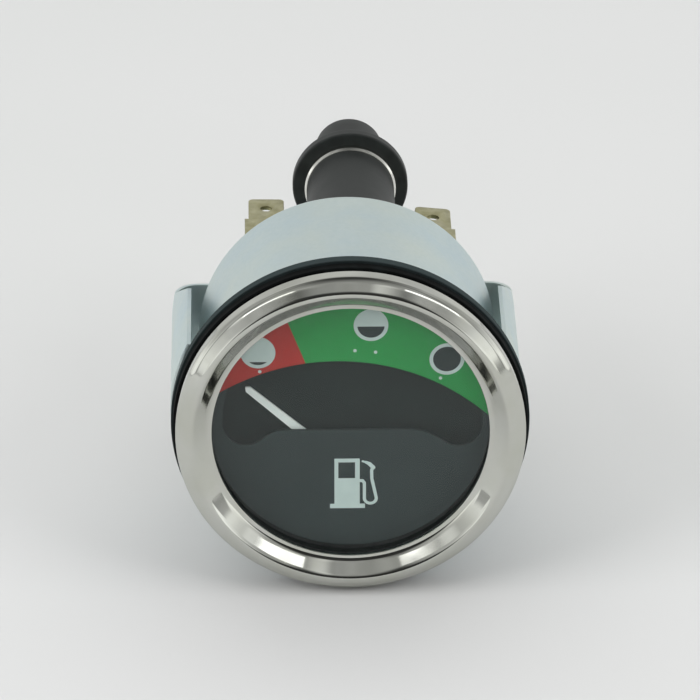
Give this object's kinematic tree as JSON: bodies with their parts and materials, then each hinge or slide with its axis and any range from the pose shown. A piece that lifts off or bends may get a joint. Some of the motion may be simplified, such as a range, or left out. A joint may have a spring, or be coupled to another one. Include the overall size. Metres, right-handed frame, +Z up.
{
  "type": "panel fuel gauge",
  "caption": "Round panel-mounted fuel gauge with a chrome bezel, an arched coloured scale, a clamp bracket and a plug-in lamp holder.",
  "frame": {"origin": "on the gauge's axis, in the plane of the panel's front face, where the rubber seal rests", "axes": "+Y backwards along the axis, +Z up on the dial, +X to the right seen from the front"},
  "size_m": [0.0615, 0.0884, 0.0614],
  "materials": {
    "bezel": "polished",
    "lens": "clear",
    "lens_gasket": "matte",
    "spacer_ring": "matte",
    "panel_seal": "satin",
    "casing": "zinc plated, satin",
    "dial_face": "matte",
    "green_marking": "matte print",
    "red_marking": "matte print",
    "white_markings": "matte print",
    "dial_ring": "matte",
    "pointer_backplate": "matte",
    "backplate_ring": "matte",
    "stop_pins": "bright",
    "pointer": "matte white",
    "pointer_hub": "matte",
    "balance_weight": "plain",
    "pointer_shaft": "bright",
    "armature": "plain",
    "front_bearing": "plain",
    "rear_bearing": "plain",
    "front_bridge": "plain",
    "rear_bridge": "plain",
    "bridge_pillars": "bright",
    "left_bobbin": "matte",
    "right_bobbin": "matte",
    "left_coil": "enamelled copper wire",
    "right_coil": "enamelled copper wire",
    "left_core": "plain",
    "right_core": "plain",
    "calibration_resistor": "matte",
    "coil_leads": "enamelled copper wire",
    "movement_spacers": "bright",
    "movement_screws": "zinc plated",
    "left_terminal": "dulled",
    "right_terminal": "dulled",
    "terminal_insulators": "matte",
    "terminal_rivets": "dulled",
    "mounting_studs": "zinc plated",
    "stud_nuts": "zinc plated",
    "clamp_bracket": "zinc plated, satin",
    "lock_washers": "plain",
    "left_thumb_nut": "plain",
    "right_thumb_nut": "plain",
    "lamp_barrel": "satin",
    "lamp_shell": "bright, turned",
    "lamp_cap": "satin",
    "lamp_socket": "plain",
    "contact_disc": "matte",
    "contact_plunger": "plain",
    "contact_spring": "plain",
    "bulb_glass": "clear",
    "bulb_base": "bright",
    "bulb_filament": "plain"
  },
  "bodies": {
    "case": {"bezel": "bezel", "lens": "lens", "lens_gasket": "lens_gasket", "spacer_ring": "spacer_ring", "panel_seal": "panel_seal", "casing": "casing", "dial_face": "dial_face", "green_marking": "green_marking", "red_marking": "red_marking", "white_markings": "white_markings", "dial_ring": "dial_ring", "pointer_backplate": "pointer_backplate", "backplate_ring": "backplate_ring", "stop_pins": "stop_pins", "front_bearing": "front_bearing", "rear_bearing": "rear_bearing", "front_bridge": "front_bridge", "rear_bridge": "rear_bridge", "bridge_pillars": "bridge_pillars", "left_bobbin": "left_bobbin", "right_bobbin": "right_bobbin", "left_coil": "left_coil", "right_coil": "right_coil", "left_core": "left_core", "right_core": "right_core", "calibration_resistor": "calibration_resistor", "coil_leads": "coil_leads", "movement_spacers": "movement_spacers", "movement_screws": "movement_screws", "left_terminal": "left_terminal", "right_terminal": "right_terminal", "terminal_insulators": "terminal_insulators", "terminal_rivets": "terminal_rivets", "mounting_studs": "mounting_studs", "stud_nuts": "stud_nuts"},
    "needle": {"pointer": "pointer", "pointer_hub": "pointer_hub", "balance_weight": "balance_weight", "pointer_shaft": "pointer_shaft", "armature": "armature"},
    "lamp": {"lamp_barrel": "lamp_barrel", "lamp_shell": "lamp_shell", "lamp_cap": "lamp_cap", "lamp_socket": "lamp_socket", "contact_disc": "contact_disc", "contact_plunger": "contact_plunger", "contact_spring": "contact_spring", "bulb_glass": "bulb_glass", "bulb_base": "bulb_base", "bulb_filament": "bulb_filament"},
    "clamp": {"clamp_bracket": "clamp_bracket", "lock_washers": "lock_washers"},
    "left_nut": {"left_thumb_nut": "left_thumb_nut"},
    "right_nut": {"right_thumb_nut": "right_thumb_nut"}
  },
  "joints": [
    {"name": "needle_swing", "type": "hinge", "parent": "case", "child": "needle", "pos_m": [0, 0, -0.0097], "axis": [0, 1, 0], "range_deg": [0, 96], "stiffness_Nm_per_rad": 0.0002},
    {"name": "lamp_pull", "type": "slide", "parent": "case", "child": "lamp", "axis": [0, 1, 0], "range_m": [0, 0.038]},
    {"name": "clamp_slide", "type": "slide", "parent": "case", "child": "clamp", "axis": [0, 1, 0], "range_m": [0, 0.06]},
    {"name": "left_nut_spin", "type": "hinge", "parent": "clamp", "child": "left_nut", "pos_m": [-0.0165, 0.043, -0.002], "axis": [0, 1, 0], "continuous": true},
    {"name": "right_nut_spin", "type": "hinge", "parent": "clamp", "child": "right_nut", "pos_m": [0.0155, 0.043, -0.002], "axis": [0, 1, 0], "continuous": true}
  ]
}
